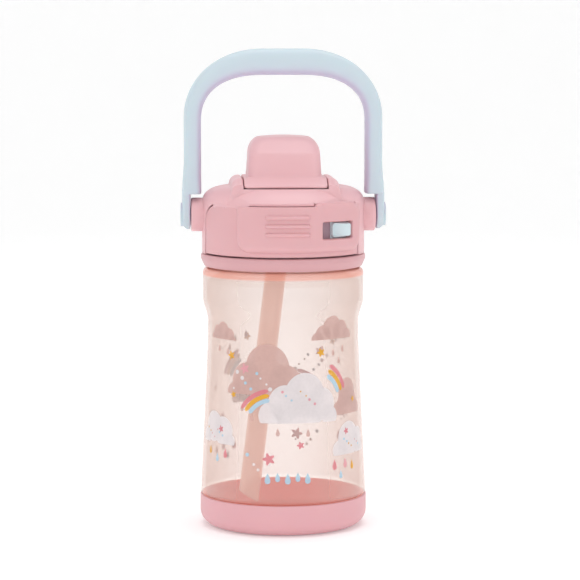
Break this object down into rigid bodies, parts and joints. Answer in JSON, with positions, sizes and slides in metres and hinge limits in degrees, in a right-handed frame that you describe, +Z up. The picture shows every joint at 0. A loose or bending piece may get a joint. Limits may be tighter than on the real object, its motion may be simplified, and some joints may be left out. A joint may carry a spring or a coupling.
{
  "type": "kids water bottle",
  "caption": "Translucent screw-neck drinking bottle with a soft base cup and a straw lid that has a flip-up spout cover, a push button with a lock slider and a swinging carry handle.",
  "frame": {"origin": "middle of the base cup's flat underside, on the bottle's axis", "axes": "+Z up along the bottle's axis, -Y towards the front with the push button, +X to the right seen from the front"},
  "size_m": [0.0978, 0.0816, 0.2266],
  "materials": {
    "clear_peach": "clear tinted copolyester",
    "satin_pink": "satin soft-touch",
    "lid_pink": "satin moulded",
    "silicone": "soft translucent silicone",
    "straw_tint": "translucent tinted tube",
    "slider_blue": "satin moulded",
    "handle_blue": "satin moulded",
    "pin_steel": "drawn stainless wire"
  },
  "bodies": {
    "bottle": {"bottle_body": "clear_peach", "base_cup": "satin_pink"},
    "lid_seal": {"lid_gasket": "silicone"},
    "lid": {"threaded_lid": "lid_pink", "lid_shell": "lid_pink", "mouthpiece": "silicone", "mouthpiece_ring": "lid_pink", "straw_adapter": "silicone", "straw": "straw_tint", "vent_valve": "silicone", "hinge_pin": "pin_steel", "cover_spring": "pin_steel", "button_spring": "pin_steel", "spout_seal": "silicone"},
    "spout_cover": {"spout_cover": "lid_pink", "cover_seal": "silicone"},
    "push_button": {"push_button": "lid_pink"},
    "lock_slider": {"lock_slider": "slider_blue"},
    "handle": {"handle": "handle_blue", "handle_pins": "handle_blue"}
  },
  "joints": [
    {"name": "lid_lift", "type": "slide", "parent": "bottle", "child": "lid_seal", "axis": [0, 0, 1], "range_m": [0, 0.0241]},
    {"name": "lid_turn", "type": "hinge", "parent": "lid_seal", "child": "lid", "pos_m": [0, 0, 0.13], "axis": [0, 0, 1], "range_deg": [0, 720]},
    {"name": "cover_flip", "type": "hinge", "parent": "lid", "child": "spout_cover", "pos_m": [0, 0.017, 0.1655], "axis": [-1, 0, 0], "range_deg": [0, 120]},
    {"name": "button_press", "type": "slide", "parent": "lid", "child": "push_button", "axis": [0, 1, 0], "range_m": [0, 0.0012], "stiffness_N_per_m": 900},
    {"name": "lock_slide", "type": "hinge", "parent": "push_button", "child": "lock_slider", "pos_m": [0, 0, 0.143], "axis": [0, 0, 1], "range_deg": [-10, 0]},
    {"name": "handle_swing", "type": "hinge", "parent": "lid", "child": "handle", "pos_m": [0, 0, 0.1483], "axis": [1, 0, 0], "range_deg": [-135, 135]}
  ],
  "couplings": [
    {"joint": "lid_lift", "follows": "lid_turn", "m_per_rad": 0.0019099}
  ]
}
